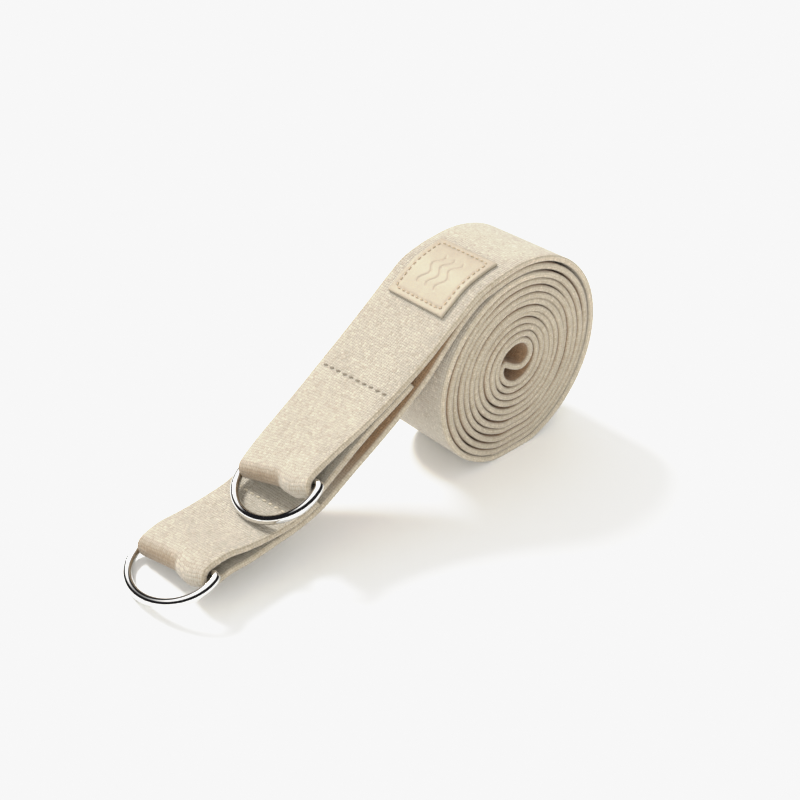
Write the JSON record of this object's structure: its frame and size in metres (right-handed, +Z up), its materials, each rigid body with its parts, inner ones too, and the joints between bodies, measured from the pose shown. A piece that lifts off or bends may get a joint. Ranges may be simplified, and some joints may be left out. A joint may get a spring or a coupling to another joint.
{
  "type": "stretching strap",
  "caption": "Cotton webbing strap folded in half and rolled up, with a metal D-ring sewn into a loop at each end and a stitched leather label.",
  "frame": {"origin": "middle of the bounding box, on the surface that the rolled strap rests on", "axes": "+X from the D-ring ends to the roll, along the strap; +Y across the webbing, along the roll's axis; +Z up"},
  "size_m": [0.1926, 0.0486, 0.0818],
  "materials": {
    "webbing": "undyed cotton webbing, plain woven, matt",
    "ring_metal": "polished nickel plate",
    "label_leather": "smooth natural leather, satin, debossed",
    "sewing_thread": "twisted cotton thread, matt"
  },
  "bodies": {
    "strap": {"webbing_roll": "webbing", "webbing_upper_end": "webbing", "webbing_lower_end": "webbing", "label": "label_leather", "upper_end_needle_thread": "sewing_thread", "upper_end_bobbin_thread": "sewing_thread", "lower_end_needle_thread": "sewing_thread", "lower_end_bobbin_thread": "sewing_thread", "label_thread": "sewing_thread"},
    "upper_ring": {"upper_d_ring": "ring_metal"},
    "lower_ring": {"lower_d_ring": "ring_metal"}
  },
  "joints": [
    {"name": "upper_ring_swivel", "type": "hinge", "parent": "strap", "child": "upper_ring", "pos_m": [-0.03952, -0.002, 0.0266], "axis": [-0.0829, 0.9474, -0.309], "range_deg": [0, 130]},
    {"name": "lower_ring_swivel", "type": "hinge", "parent": "strap", "child": "lower_ring", "pos_m": [-0.07852, 0.003, 0.00925], "axis": [-0.0932, 0.9683, -0.2317], "range_deg": [0, 130]}
  ]
}
